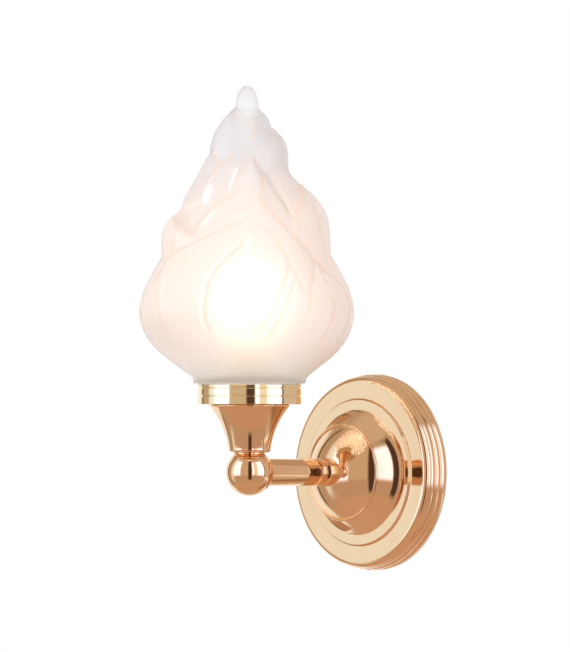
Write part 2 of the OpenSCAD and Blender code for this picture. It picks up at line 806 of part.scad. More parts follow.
// tube along a route given as [x, out, up]
module lead(route) {
    path = [for (p = smooth_route(route)) [p[0], -p[1], p[2]]];
    count = len(path);
    points = [for (i = [0:count - 1]) let (
        along = path[min(i + 1, count - 1)] - path[max(i - 1, 0)],
        t = along / norm(along),
        flat = [1, 0, 0] - t[0] * t,
        side = flat / norm(flat),
        rise = cross(t, side)
    ) each [for (s = [0:wire_sides - 1]) let (a = s * 360 / wire_sides)
        path[i] + wire_r * (cos(a) * side + sin(a) * rise)]];
    end = (count - 1) * wire_sides;
    polyhedron(points = points, faces = concat(
        band_faces(count, wire_sides),
        [[for (s = [0:wire_sides - 1]) s], [for (s = [wire_sides - 1:-1:0]) end + s]]
    ));
}

// from the lamp holder down the torch and along the arm, on one side of its middle
function arm_route(side) = [
    [side * holder_wire_x, arm_reach, holder_floor_up],
    [side * holder_wire_x, arm_reach, holder_up + 0.4],
    [side * 2.4, arm_reach, holder_up - 2],
    [side * lead_x, arm_reach, entry_up + 2],
    [side * lead_x, arm_reach, cup_foot_up],
    [side * lead_x, arm_reach, ball_bend],
    [side * lead_x, arm_reach - 1.5, 1.5],
    [side * lead_x, arm_reach - ball_bend, 0],
    [side * lead_x, 70, 0],
    [side * lead_x, 45, 0],
    [side * lead_x, 20, 0],
    [side * lead_x, 15, -0.5]
];

module live_wire() {
    color("saddlebrown") lead(concat(arm_route(1), LIVE_TAIL));
}

module neutral_wire() {
    color("royalblue") lead(concat(arm_route(-1), NEUTRAL_TAIL));
}

module earth_wire() {
    color("yellowgreen") lead(EARTH_ROUTE);
}

wall_plate();
dome_cap();
wall_gasket();
mounting_bracket();
cable_grommet();
plate_grub_screws();
terminal_block();
terminal_tubes();
terminal_screws();
block_screw();
earth_screw();
earth_tag();
arm_stud();
stud_nut();
stud_washer();
arm_ferrule();
arm_tube();
ball_knuckle();
neck_collar();
cup_nipple();
cup_nut();
torch_cup();
gallery_ring();
holder_cap();
holder_body();
holder_shell();
holder_contact();
holder_screws();
lamp_contact();
lamp_insulator();
lamp_cap();
lamp_envelope();
lamp_filaments();
glass_seal();
glass_shade();
live_wire();
neutral_wire();
earth_wire();
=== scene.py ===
"""Looks of a torch wall light: polished rose-gold turnings, a frosted flame and a lit globe lamp.

Frame: metres, the origin in the middle of the plate's back on the wall, -Y out of the wall, +Z up.
"Out" is a distance from the wall, "up" a height above the arm's axis, both in millimetres until a
mesh is made of them.
"""
import json
import math

import bpy
import numpy as np
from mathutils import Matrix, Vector


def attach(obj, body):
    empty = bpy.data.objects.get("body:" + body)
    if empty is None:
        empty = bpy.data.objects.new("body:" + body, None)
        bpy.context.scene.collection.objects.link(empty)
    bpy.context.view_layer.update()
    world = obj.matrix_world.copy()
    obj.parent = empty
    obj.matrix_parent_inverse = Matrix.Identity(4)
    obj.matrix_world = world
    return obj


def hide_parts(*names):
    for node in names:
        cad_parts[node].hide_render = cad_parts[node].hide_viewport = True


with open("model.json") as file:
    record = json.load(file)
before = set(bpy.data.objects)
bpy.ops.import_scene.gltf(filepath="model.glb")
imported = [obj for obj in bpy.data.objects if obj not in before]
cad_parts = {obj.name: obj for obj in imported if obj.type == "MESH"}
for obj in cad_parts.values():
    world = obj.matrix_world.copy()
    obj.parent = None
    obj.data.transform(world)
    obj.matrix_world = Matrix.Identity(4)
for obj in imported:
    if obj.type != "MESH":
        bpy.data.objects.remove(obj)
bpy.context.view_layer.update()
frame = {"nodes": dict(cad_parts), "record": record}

MM = 0.001

# ------------------------------------------------------------------ sizes, in millimetres
PLATE_R = 54.0
PLATE_FACE = 14.4            # flat ring, raised step and metal thickness of the plate
PLATE_STEP = 16.0
PLATE_WALL = 1.6
ARM_REACH = 98.5
ARM_R = 7.5
FERRULE_R = 7.7
FERRULE_END = 46.9
BALL_R = 13.0
CUP_FOOT = 10.922
CUP_TOP = 37.2
LIP_R = 22.0
RING_R = 28.6
RING_TOP = 48.0
GLASS_FOOT = 48.5
GLASS_NECK_R = 26.0
GLASS_WALL = 3.0
DOME_R = 26.0
DOME_SEAT = 26.3
DOME_TOP = 38.3
ROD_HOLE_R = 5.05
CONE_R = 32.8
CONE_OUT = 17.2
CONE_PARTS = (0, 0.08, 0.33, 0.42, 1)              # how far up the cone, and its slope there
CONE_SLOPES = (34, 42, 51.5, 54.5, 56)
GRUB_R = 2.0
GRUB_OUT = 5.85
GLASS_HEIGHT = 163.0
FLAME_DESIGN_HEIGHT = 164.0
LAMP_MIDDLE = 93.5

# the photograph: its picture, its scale and its direction
PHOTO = (570, 652)
PX_PER_MM = 1.818
SENSOR = 36.0
CAMERA_M = 12.0
CAMERA_TURN = math.radians(45.75)
MIDDLE_RIGHT = -0.0512
MIDDLE_UP = 0.0805
TOWARDS = Vector((math.sin(CAMERA_TURN), -math.cos(CAMERA_TURN), 0))
RIGHTWARDS = Vector((math.cos(CAMERA_TURN), math.sin(CAMERA_TURN), 0))


# ------------------------------------------------------------------ node helpers
class Tree:
    """Adds nodes to a node tree: settings first, then the values or links of its sockets."""

    def __init__(self, tree):
        self.tree = tree

    def node(self, kind, settings=None, inputs=None, out=0):
        made = self.tree.nodes.new(kind)
        for name, value in (settings or {}).items():
            if name == "stops":
                ramp = made.color_ramp
                while len(ramp.elements) < len(value):
                    ramp.elements.new(0.5)
                for stop, (at, colour) in zip(ramp.elements, value):
                    stop.position = at
                    stop.color = colour
            else:
                setattr(made, name, value)
        for name, value in (inputs or {}).items():
            self.put(made.inputs[name], value)
        return Socket(self, made.outputs[out])

    def put(self, socket, value):
        if isinstance(value, Socket):
            self.tree.links.new(value.socket, socket)
        elif value is not None:
            socket.default_value = value

    def mix(self, factor, a, b):
        return self.node("ShaderNodeMix", {"data_type": "RGBA"}, {0: factor, 6: a, 7: b}, 2)


class Socket:
    """A socket whose arithmetic adds Math nodes."""

    def __init__(self, tree, socket):
        self.tree = tree
        self.socket = socket

    def math(self, operation, *others):
        inputs = {i: v for i, v in enumerate((self, *others))}
        return self.tree.node("ShaderNodeMath", {"operation": operation}, inputs)

    def other(self, name):
        return Socket(self.tree, self.socket.node.outputs[name])

    def __add__(self, b): return self.math("ADD", b)
    def __radd__(self, b): return self.math("ADD", b)
    def __mul__(self, b): return self.math("MULTIPLY", b)
    def __rmul__(self, b): return self.math("MULTIPLY", b)
    def __truediv__(self, b): return self.math("DIVIDE", b)
    def __pow__(self, b): return self.math("POWER", b)
    def __neg__(self): return self.math("MULTIPLY", -1.0)

    def __sub__(self, b): return self.math("SUBTRACT", b)

    def __rsub__(self, b):
        return self.tree.node("ShaderNodeMath", {"operation": "SUBTRACT"}, {0: b, 1: self})

    def smooth(self, low, high):
        """0 below low, 1 above high, smooth between; low may be the higher one."""
        flip = low > high
        made = self.tree.node("ShaderNodeMapRange", {"interpolation_type": "SMOOTHSTEP"},
                              {"Value": self, "From Min": min(low, high), "From Max": max(low, high)})
        return 1.0 - made if flip else made


def rgba(r, g, b):
    return (r, g, b, 1.0)


class Finish(Tree):
    """A material with one Principled shader, read in Object coordinates."""

    def __init__(self, name, **constant):
        self.material = bpy.data.materials.new(name)
        self.material.use_nodes = True
        super().__init__(self.material.node_tree)
        self.shader = self.tree.nodes["Principled BSDF"]
        for key, value in constant.items():
            self.shader.inputs[key.replace("_", " ")].default_value = value
        self.place = self.node("ShaderNodeTexCoord").other("Object")

    def set(self, name, value):
        self.put(self.shader.inputs[name], value)

    def noise(self, scale, detail=2.0, rough=0.5, at=None, kind="ShaderNodeTexNoise"):
        return self.node(kind, None, {"Vector": at or self.place, "Scale": scale, "Detail": detail,
                                      "Roughness": rough})

    def part(self, at=None):
        """x, y and z of a position, as three values."""
        split = self.node("ShaderNodeSeparateXYZ", None, {"Vector": at or self.place})
        return split.other("X"), split.other("Y"), split.other("Z")

    def bump(self, height, distance, strength=1.0):
        made = self.node("ShaderNodeBump", None, {"Height": height, "Strength": strength,
                                                  "Distance": distance})
        self.set("Normal", made)


# ------------------------------------------------------------------ metals
def polished_metal(name, colour, deep, roughness, axis="torch", waves=0.000012):
    """Bright plated brass: faint turning lines, a slight swim of the polish, thin tarnish in places."""
    f = Finish(name, Metallic=1.0)
    x, y, z = f.part()
    if axis == "torch":
        across, along = ((x * x) + (y + ARM_REACH * MM) ** 2.0) ** 0.5, z
    else:
        across, along = ((x * x) + (z * z)) ** 0.5, y
    lines_at = f.node("ShaderNodeCombineXYZ", None, {"X": across * 2600.0, "Y": along * 2600.0})
    lines = f.noise(1.0, 3.0, 0.6, lines_at)
    swim = f.noise(55.0, 2.0, 0.4)
    cloud = f.noise(24.0, 4.0, 0.6)
    wipe = f.noise(420.0, 3.0, 0.7)
    stain = (cloud * 0.7 + lines * 0.3).smooth(0.35, 0.75)
    f.set("Base Color", f.mix(stain, rgba(*colour), rgba(*deep)))
    f.set("Roughness", roughness + lines * 0.03 + wipe.smooth(0.45, 0.8) * 0.035)
    f.bump(swim + lines * 0.02 + wipe * 0.01, waves, 1.0)
    return f.material


def plated_steel():
    """Zinc-plated steel: cool and dull bright, with spangle and fine scratches."""
    f = Finish("zinc_plate", Metallic=1.0)
    spangle = f.noise(900.0, 2.0, 0.5)
    cloud = f.noise(120.0, 4.0, 0.6)
    f.set("Base Color", f.mix(cloud.smooth(0.3, 0.7), rgba(0.60, 0.61, 0.62), rgba(0.47, 0.49, 0.52)))
    f.set("Roughness", 0.27 + spangle * 0.14 + cloud * 0.06)
    f.bump(spangle, 0.00002, 0.6)
    return f.material


def nickel():
    """Nickel on pressed brass, a little warm."""
    f = Finish("nickel_plate", Metallic=1.0)
    cloud = f.noise(180.0, 4.0, 0.6)
    rub = f.noise(1500.0, 2.0, 0.6)
    f.set("Base Color", f.mix(cloud.smooth(0.3, 0.75), rgba(0.66, 0.62, 0.55), rgba(0.52, 0.48, 0.42)))
    f.set("Roughness", 0.18 + rub * 0.16)
    f.bump(rub, 0.00001, 0.6)
    return f.material


def plain_brass():
    """Unpolished machined brass of the terminals."""
    f = Finish("machined_brass", Metallic=1.0)
    cloud = f.noise(300.0, 4.0, 0.6)
    cuts = f.noise(2500.0, 2.0, 0.5)
    f.set("Base Color", f.mix(cloud.smooth(0.3, 0.75), rgba(0.72, 0.52, 0.20), rgba(0.50, 0.34, 0.13)))
    f.set("Roughness", 0.24 + cuts * 0.2)
    f.bump(cuts, 0.00001, 0.6)
    return f.material


# ------------------------------------------------------------------ other finishes
def moulded(name, colour, dark, roughness, grain=900.0, depth=0.00003, **constant):
    """A moulded or glazed surface: cloudy tone, fine grain."""
    f = Finish(name, **constant)
    cloud = f.noise(90.0, 4.0, 0.6)
    pits = f.noise(grain, 2.0, 0.6)
    f.set("Base Color", f.mix(cloud.smooth(0.3, 0.8), rgba(*colour), rgba(*dark)))
    f.set("Roughness", roughness + pits * 0.12)
    f.bump(pits, depth, 0.5)
    return f.material


def striped_sleeve():
    """Earth lead: green with yellow stripes along it."""
    f = Finish("earth_sleeve")
    x, y, z = f.part()
    stripe = ((x + y * 0.8) * 1400.0).math("SINE").smooth(-0.15, 0.15)
    scuff = f.noise(700.0, 2.0, 0.5)
    f.set("Base Color", f.mix(stripe, rgba(0.03, 0.24, 0.05), rgba(0.62, 0.55, 0.03)))
    f.set("Roughness", 0.4 + scuff * 0.15)
    f.bump(scuff, 0.00001, 0.4)
    return f.material


def frosted_glass():
    """Acid-frosted blown glass, satin outside, with the lamp's light painted into its colour and
    emission: a painted glow strongest near the lamp, painted warm light along the folds, a cooler,
    greyer painted glow at its foot, and painted highlights in the furrows.
    """
    f = Finish("frosted_glass", IOR=1.45, Transmission_Weight=0.92, Emission_Strength=1.0)
    frost = f.noise(2600.0, 2.0, 0.6)
    cloud = f.noise(34.0, 3.0, 0.5)
    x, y, z = f.part()
    # fold strength from the mesh: above 0 on folds and leaf rims, where warm lamp light is painted,
    # below 0 in the furrows, where a highlight is painted
    fold = f.node("ShaderNodeAttribute", {"attribute_name": "ridge"}).other("Fac")
    ridge, painted_highlight = fold.math("MAXIMUM", 0.0), fold.smooth(-0.2, -1.2)
    # painted pool of the lamp's light: near is 1 close to the lamp's middle and 0 far from it
    away = ((x * x) + (y + ARM_REACH * MM) ** 2.0 + (z - LAMP_MIDDLE * MM) ** 2.0) ** 0.5
    near = away.smooth(0.092, 0.045)
    # base colour with painted lamp light: warmer near the lamp, cooler and greyer at the foot, warm
    # along the folds
    tone = f.mix(near, rgba(0.94, 0.935, 0.937), rgba(0.99, 0.93, 0.89))
    tone = f.mix(z.smooth(0.070, 0.052) * 0.8, tone, rgba(0.955, 0.96, 0.935))
    tone = f.mix(ridge * 0.85, tone, rgba(0.965, 0.80, 0.66))
    f.set("Base Color", f.mix(cloud.smooth(0.35, 0.75) * 0.35, tone, rgba(0.95, 0.925, 0.91)))
    # painted glow: emission standing in for the lamp's light in the glass, stronger near the lamp, warm
    # along the folds, greyer at the foot, with a bright painted highlight in the furrows
    glow = f.mix(near, rgba(0.009, 0.008, 0.008), rgba(0.064, 0.043, 0.031))
    glow = f.mix(ridge * 0.6, glow, rgba(0.034, 0.017, 0.008))
    glow = f.mix(z.smooth(0.070, 0.052) * 0.8, glow, rgba(0.050, 0.047, 0.041))
    f.set("Emission Color", f.mix(painted_highlight, glow, rgba(0.30, 0.29, 0.28)))
    f.set("Roughness", 0.34 + frost * 0.08 + cloud * 0.04)
    f.bump(frost + cloud * 2.0, 0.00003, 0.6)
    return f.material


def lit_envelope():
    """Frosted bulb glass over a warm light, brightest along its middle."""
    f = Finish("lamp_glass", Roughness=0.35, Emission_Strength=0.72)
    x, y, z = f.part()
    frost = f.noise(1800.0, 2.0, 0.5)
    foot = z.smooth(0.060, 0.078)
    glow = f.mix(foot, rgba(0.42, 0.22, 0.09), rgba(1.0, 0.92, 0.76))
    f.set("Base Color", f.mix(frost, rgba(0.95, 0.93, 0.88), rgba(0.88, 0.85, 0.78)))
    f.set("Emission Color", glow)
    f.bump(frost, 0.00001, 0.4)
    return f.material


def glowing_filament():
    f = Finish("filament", Roughness=0.4, Emission_Strength=6.0)
    grain = f.noise(1500.0, 2.0, 0.5)
    f.set("Base Color", f.mix(grain, rgba(1.0, 0.75, 0.3), rgba(0.9, 0.6, 0.2)))
    f.set("Emission Color", f.mix(grain, rgba(1.0, 0.80, 0.45), rgba(1.0, 0.70, 0.35)))
    return f.material


ROSE, ROSE_DEEP = (0.93, 0.665, 0.425), (0.89, 0.60, 0.365)
PALE, PALE_DEEP = (0.96, 0.84, 0.60), (0.93, 0.78, 0.52)
FINISHES = {
    "rose_gold_plate": polished_metal("rose_gold_plate", ROSE, ROSE_DEEP, 0.035, "plate"),
    "rose_gold": polished_metal("rose_gold_torch", ROSE, ROSE_DEEP, 0.035, "torch"),
    "pale_gold": polished_metal("pale_gold", PALE, PALE_DEEP, 0.04, "torch"),
    "plated_steel": plated_steel(),
    "nickel": nickel(),
    "terminal_brass": plain_brass(),
    "gasket_foam": moulded("gasket_foam", (0.035, 0.035, 0.038), (0.02, 0.02, 0.022),
                           0.8, 1400.0, 0.0002),
    "black_rubber": moulded("black_rubber", (0.022, 0.022, 0.024), (0.014, 0.014, 0.015), 0.55),
    "seal_silicone": moulded("seal_silicone", (0.72, 0.69, 0.64), (0.60, 0.57, 0.52), 0.4),
    "terminal_plastic": moulded("terminal_plastic", (0.74, 0.74, 0.71), (0.62, 0.62, 0.58), 0.4),
    "holder_ceramic": moulded("holder_ceramic", (0.80, 0.78, 0.73), (0.72, 0.69, 0.63),
                              0.1, 300.0, 0.00008, Coat_Weight=0.6, Coat_Roughness=0.06),
    "lamp_insulator": moulded("lamp_insulator", (0.012, 0.011, 0.015), (0.02, 0.018, 0.022), 0.08),
    "lamp_glass": lit_envelope(),
    "filament": glowing_filament(),
    "frosted_glass": frosted_glass(),
    "live_sleeve": moulded("live_sleeve", (0.115, 0.040, 0.014), (0.085, 0.028, 0.010), 0.38),
    "neutral_sleeve": moulded("neutral_sleeve", (0.018, 0.085, 0.33), (0.012, 0.06, 0.26), 0.38),
    "earth_sleeve": striped_sleeve(),
}


# ------------------------------------------------------------------ profiles
def arc(middle, radius, start, end, steps=24):
    """Points on an arc, angles in degrees."""
    return [(middle[0] + radius * math.cos(a), middle[1] + radius * math.sin(a))
            for a in np.radians(np.linspace(start, end, steps + 1))]


def rounded(corners, steps=5):
    """Closed outline of corners (radius, height, rounding), with its corners rounded."""
    points = []
    count = len(corners)
    for i, (r, h, cut) in enumerate(corners):
        here = np.array((r, h), float)
        back = np.array(corners[i - 1][:2], float) - here
        on = np.array(corners[(i + 1) % count][:2], float) - here
        if cut <= 0:
            points.append(tuple(here))
            continue
        u, v = back / np.linalg.norm(back), on / np.linalg.norm(on)
        half = math.acos(np.clip(u @ v, -1, 1)) / 2
        reach = min(cut / math.tan(half), 0.49 * np.linalg.norm(back), 0.49 * np.linalg.norm(on))
        radius = reach * math.tan(half)
        middle = here + (u + v) / np.linalg.norm(u + v) * radius / math.sin(half)
        a, b = here + u * reach - middle, here + v * reach - middle
        for t in np.linspace(0, 1, steps + 1):
            p = a * (1 - t) + b * t
            points.append(tuple(middle + p / np.linalg.norm(p) * radius))
    return points


def bulge(a, b, rise):
    """Middle and radius of the arc from a to b that bulges by rise on its left."""
    a, b = np.array(a, float), np.array(b, float)
    chord = b - a
    length = np.linalg.norm(chord)
    radius = (length * length / 4 + rise * rise) / (2 * rise)
    return (a + b) / 2 + (radius - rise) * np.array([chord[1], -chord[0]]) / length, radius


def along(middle, radius, a, b, steps=24):
    """Arc from point a to point b the short way round its middle."""
    start = math.degrees(math.atan2(a[1] - middle[1], a[0] - middle[0]))
    end = math.degrees(math.atan2(b[1] - middle[1], b[0] - middle[0]))
    end = start + (end - start + 180) % 360 - 180
    return arc(middle, radius, start, end, steps)


# ------------------------------------------------------------------ Geometry Nodes trees
def new_object(name, mesh):
    made = bpy.data.objects.new(name, mesh)
    bpy.context.scene.collection.objects.link(made)
    return made


def outline_mesh(name, points, closed=True):
    """A polyline of (radius, height) points in millimetres, as a mesh in the XZ plane."""
    mesh = bpy.data.meshes.new(name)
    count = len(points)
    edges = [(i, (i + 1) % count) for i in range(count if closed else count - 1)]
    mesh.from_pydata([(r * MM, 0, h * MM) for r, h in points], edges, [])
    return mesh


def group(name, sockets):
    tree = bpy.data.node_groups.new(name, "GeometryNodeTree")
    tree.interface.new_socket("Geometry", in_out="INPUT", socket_type="NodeSocketGeometry")
    for label, kind in sockets:
        tree.interface.new_socket(label, in_out="INPUT", socket_type=kind)
    tree.interface.new_socket("Geometry", in_out="OUTPUT", socket_type="NodeSocketGeometry")
    made = Tree(tree)
    return made, made.node("NodeGroupInput")


def close_group(made, geometry, given):
    """Ends a tree in Realize Instances and Set Material."""
    real = made.node("GeometryNodeRealizeInstances", None, {"Geometry": geometry})
    done = made.node("GeometryNodeSetMaterial", None,
                     {"Geometry": real, "Material": given.other("Finish")})
    out = made.tree.nodes.new("NodeGroupOutput")
    made.tree.links.new(done.socket, out.inputs[0])
    return made.tree


def smooth_by_angle(made, geometry, angle):
    smooth = made.node("GeometryNodeSetShadeSmooth", {"domain": "FACE"},
                       {"Geometry": geometry, "Shade Smooth": True})
    steep = made.node("GeometryNodeInputMeshEdgeAngle").math("GREATER_THAN", angle)
    return made.node("GeometryNodeSetShadeSmooth", {"domain": "EDGE"},
                     {"Geometry": smooth, "Selection": steep, "Shade Smooth": False})


def turning_tree():
    """Turns an outline round an axis: on the lathe's +Z, then tipped and moved to its place."""
    made, given = group("turning", [("Divisions", "NodeSocketInt"), ("Tip", "NodeSocketRotation"),
                                    ("Place", "NodeSocketVector"), ("Crease", "NodeSocketFloat"),
                                    ("Finish", "NodeSocketMaterial")])
    outline = made.node("GeometryNodeMeshToCurve", None, {"Mesh": given})
    upright = made.node("GeometryNodeTransform", None,
                        {"Geometry": outline, "Rotation": (math.pi / 2, 0, 0)})
    circle = made.node("GeometryNodeCurvePrimitiveCircle", None,
                       {"Resolution": given.other("Divisions"), "Radius": 1e-6})
    level = made.node("GeometryNodeSetCurveNormal", {"mode": "Z_UP"}, {"Curve": circle})
    swept = made.node("GeometryNodeCurveToMesh", None, {"Curve": level, "Profile Curve": upright})
    sealed = made.node("GeometryNodeMergeByDistance", None, {"Geometry": swept, "Distance": 2e-6})
    placed = made.node("GeometryNodeTransform", None,
                       {"Geometry": sealed, "Rotation": given.other("Tip"),
                        "Translation": given.other("Place")})
    return close_group(made, smooth_by_angle(made, placed, given.other("Crease")), given)


def fill(modifier, values):
    """Sets a modifier's inputs by the sockets' identifiers."""
    for item in modifier.node_group.interface.items_tree:
        if item.item_type == "SOCKET" and item.in_out == "INPUT" and item.name in values:
            modifier[item.identifier] = values[item.name]


def grown(name, mesh, tree, values, finish):
    """The plain mesh object that a tree makes of a mesh."""
    source = new_object(name + "_source", mesh)
    modifier = source.modifiers.new("grow", "NODES")
    modifier.node_group = tree
    fill(modifier, {**values, "Finish": finish})
    result = evaluated_mesh(source)
    result.name = name
    bpy.data.objects.remove(source)
    outwards(result)
    return new_object(name, result)


def signed_volume(mesh):
    mesh.calc_loop_triangles()
    co = np.empty(len(mesh.vertices) * 3)
    mesh.vertices.foreach_get("co", co)
    co = co.reshape(-1, 3)
    co = co - co.mean(0)
    tri = np.empty(len(mesh.loop_triangles) * 3, int)
    mesh.loop_triangles.foreach_get("vertices", tri)
    a, b, c = co[tri.reshape(-1, 3)].transpose(1, 0, 2)
    return float(np.einsum("ij,ij->i", a, np.cross(b, c)).sum())


def outwards(mesh):
    if signed_volume(mesh) < 0:
        mesh.flip_normals()


TURNING = turning_tree()
OUT_OF_WALL = (math.pi / 2, 0, 0)
UPRIGHT = (0, 0, 0)


def settle(piece, node, body="root"):
    """A finished piece rides on its body and stands for its CAD node."""
    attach(piece, body)
    if node:
        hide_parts(*([node] if isinstance(node, str) else node))
    return piece


def evaluated_mesh(piece):
    """The mesh that an object has after its modifiers."""
    bpy.context.view_layer.update()
    graph = bpy.context.evaluated_depsgraph_get()
    return bpy.data.meshes.new_from_object(piece.evaluated_get(graph))


def turned(name, outline, finish, out_of_wall=False, divisions=192, crease=32):
    tip = OUT_OF_WALL if out_of_wall else UPRIGHT
    place = (0, 0, 0) if out_of_wall else (0, -ARM_REACH * MM, 0)
    return grown(name, outline_mesh(name, outline), TURNING,
                 {"Divisions": divisions, "Tip": tip, "Place": place, "Crease": math.radians(crease)},
                 FINISHES[finish])


# ------------------------------------------------------------------ wall plate and arm
def wall_plate():
    """Reeded rim, flat ring, raised ring and hollow cone, as one turned shell."""
    reeds = [((PLATE_R - 3.6, 2.0), 3.6), ((PLATE_R - 3.7, 5.85), 3.4), ((PLATE_R - 4.0, 9.3), 3.05)]
    face, step, wall = PLATE_FACE, PLATE_STEP, PLATE_WALL
    edge = (PLATE_R - 4.9, face - 3.4)
    outer = [(PLATE_R - 0.35, 0.0)]
    outer += meeting_arcs(reeds + [(edge, 3.4)], outer[0])
    outer += rounded([(edge[0] - 2, face, 0), (PLATE_R - 13.4, face, 0.35),
                      (PLATE_R - 14.2, step, 0.35), (PLATE_R - 19.6, step, 0)], 6)
    outer += cove((PLATE_R - 19.6, step), (DOME_R + 0.3, DOME_SEAT))
    outer += [(ROD_HOLE_R, DOME_SEAT)]
    slope = (CONE_R - DOME_R) / (DOME_SEAT - CONE_OUT)
    skin = wall * math.hypot(1, slope)
    inner = [(ROD_HOLE_R, DOME_SEAT - wall), (DOME_R + slope * wall - skin, DOME_SEAT - wall),
             (CONE_R + slope * (CONE_OUT - step + wall) - skin, step - wall),
             (PLATE_R - 15.2, step - wall), (PLATE_R - 14.4, face - wall), (PLATE_R - 7.4, face - wall),
             (PLATE_R - 4.4, face - wall - 3), (PLATE_R - 4.4, 0.0)]
    plate = turned("wall_plate_shell", outer + inner, "rose_gold_plate", True, 256, 28)
    bore(plate, GRUB_R + 0.05, GRUB_OUT)
    return settle(plate, "wall_plate")


def cove(low, high):
    """Hollow curve from low to high, steeper and nearly straight towards high."""
    parts = np.linspace(0, 1, 33)
    slopes = np.radians(np.interp((parts[1:] + parts[:-1]) / 2, CONE_PARTS, CONE_SLOPES))
    path = np.cumsum(np.stack([-np.cos(slopes), np.sin(slopes)], -1), 0)
    return [tuple(p) for p in np.array(low) + path * (np.array(high) - low) / path[-1]]


def bore(piece, radius, out):
    """Cuts the two grub screw holes through the rim, above and below."""
    for side in (-1, 1):
        ring = [(0.0, -7.0), (radius, -7.0), (radius, 7.0), (0.0, 7.0)]
        cutter = grown("grub_cutter", outline_mesh("grub_cutter", ring), TURNING,
                       {"Divisions": 48, "Tip": UPRIGHT, "Place": (0, -out * MM, side * PLATE_R * MM),
                        "Crease": math.radians(30)}, FINISHES["rose_gold_plate"])
        modifier = piece.modifiers.new("bore", "BOOLEAN")
        modifier.operation = "DIFFERENCE"
        modifier.solver = "EXACT"
        modifier.object = cutter
        cut = evaluated_mesh(piece)
        piece.modifiers.clear()
        piece.data = cut
        bpy.data.objects.remove(cutter)


def meeting_arcs(circles, start, steps=14):
    """Outer outline of circles that overlap in a row, from a start point up to the last one's top."""
    points = []
    here = start
    for i, (middle, radius) in enumerate(circles):
        if i + 1 < len(circles):
            there = outer_crossing(circles[i], circles[i + 1])
        else:
            there = (middle[0], middle[1] + radius)
        if i == 0:
            here = (middle[0] + math.sqrt(max(radius ** 2 - middle[1] ** 2, 0)), 0.0)
        points += along(middle, radius, here, there, steps)
        here = there
    return points


def outer_crossing(one, other):
    """Where two circles cross, on the side of the larger radius."""
    (ax, ay), ar = one
    (bx, by), br = other
    gap = math.hypot(bx - ax, by - ay)
    run = (ar ** 2 - br ** 2 + gap ** 2) / (2 * gap)
    rise = math.sqrt(max(ar ** 2 - run ** 2, 0))
    ux, uy = (bx - ax) / gap, (by - ay) / gap
    options = [(ax + run * ux - s * rise * uy, ay + run * uy + s * rise * ux) for s in (1, -1)]
    return max(options)


def dome_cap():
    """Convex cap with a bead line round its foot."""
    bead = 0.95
    low = DOME_SEAT + bead
    middle_h = (DOME_TOP ** 2 + FERRULE_R ** 2 - low ** 2 - DOME_R ** 2) / (2 * (DOME_TOP - low))
    radius = math.hypot(DOME_R, low - middle_h)
    middle = (0.0, middle_h)
    points = [(DOME_R, DOME_SEAT)] + arc((DOME_R, low), bead, -80, 75, 12)
    start = (DOME_R - 0.12, middle_h + math.sqrt(radius ** 2 - (DOME_R - 0.12) ** 2) + 0.02)
    points += along(middle, radius, start, (FERRULE_R, DOME_TOP), 48)
    points += [(ROD_HOLE_R, DOME_TOP), (ROD_HOLE_R, DOME_SEAT),
               (9.0, DOME_SEAT), (9.0, DOME_SEAT + 9.4)]
    inside = radius - 1.6
    points += along(middle, inside, (9.0, middle_h + math.sqrt(inside ** 2 - 81)),
                    (math.sqrt(inside ** 2 - (DOME_SEAT - middle_h) ** 2), DOME_SEAT), 24)
    cap = turned("dome_cap_shell", points, "rose_gold_plate", True, 192, 30)
    return settle(cap, "dome_cap")


def arm_ferrule():
    end = FERRULE_END
    points = rounded([(ROD_HOLE_R, DOME_TOP, 0), (FERRULE_R, DOME_TOP, 0), (FERRULE_R, end - 1.0, 0.12),
                      (FERRULE_R - 0.5, end - 0.95, 0.1), (FERRULE_R - 0.5, end - 0.55, 0.1),
                      (FERRULE_R, end - 0.5, 0.12), (FERRULE_R, end, 0.18), (ROD_HOLE_R, end, 0)])
    sleeve = turned("arm_ferrule_sleeve", points, "rose_gold_plate", True, 160)
    return settle(sleeve, "arm_ferrule")


def arm_tube():
    end = ARM_REACH - math.sqrt(BALL_R ** 2 - ARM_R ** 2)
    bore_r = ARM_R - 1.2
    points = rounded([(bore_r, FERRULE_END, 0), (ARM_R, FERRULE_END, 0.1), (ARM_R, end, 0.08),
                      (bore_r, end, 0)])
    tube = turned("arm_tube_drawn", points, "rose_gold_plate", True, 160)
    return settle(tube, "arm_tube")


# ------------------------------------------------------------------ cup, collar and ring
def neck_collar():
    low = CUP_FOOT - 1.0
    points = rounded([(ROD_HOLE_R, low, 0), (8.4, low, 0.3), (8.4, CUP_FOOT, 0.3),
                      (ROD_HOLE_R, CUP_FOOT, 0)], 8)
    disc = turned("neck_collar_disc", points, "rose_gold", False, 160)
    return settle(disc, "neck_collar")


def on_arc(middle, radius, up):
    """The point at a height on the side of an arc that faces the axis."""
    return (middle[0] - math.sqrt(radius ** 2 - (up - middle[1]) ** 2), up)


def torch_cup():
    """Flared cup with a rounded foot and a thin lip."""
    foot_r, foot_round, wall = 10.1, 1.4, 1.5
    floor = CUP_FOOT + 3.5
    low, high = (foot_r + foot_round, CUP_FOOT + foot_round + 0.4), (LIP_R - 0.6, CUP_TOP - 1.7)
    middle, radius = bulge(low, high, 1.7)
    points = [(ROD_HOLE_R, CUP_FOOT), (foot_r, CUP_FOOT)]
    points += arc((foot_r, CUP_FOOT + foot_round), foot_round, -80, 0, 12)[:-1]
    points += along(middle, radius, low, high, 48)
    points += arc((LIP_R - 0.7, CUP_TOP - 0.7), 0.7, -62, 90, 16)
    points += [(high[0] - 1.4, CUP_TOP), (high[0] - 1.4, CUP_TOP - 1.2)]
    thick = radius + wall
    points += along(middle, thick, on_arc(middle, thick, CUP_TOP - 1.8),
                    on_arc(middle, thick, floor), 24)
    points += [(ROD_HOLE_R, floor)]
    cup = turned("torch_cup_spun", points, "rose_gold", False, 224, 30)
    return settle(cup, "torch_cup")


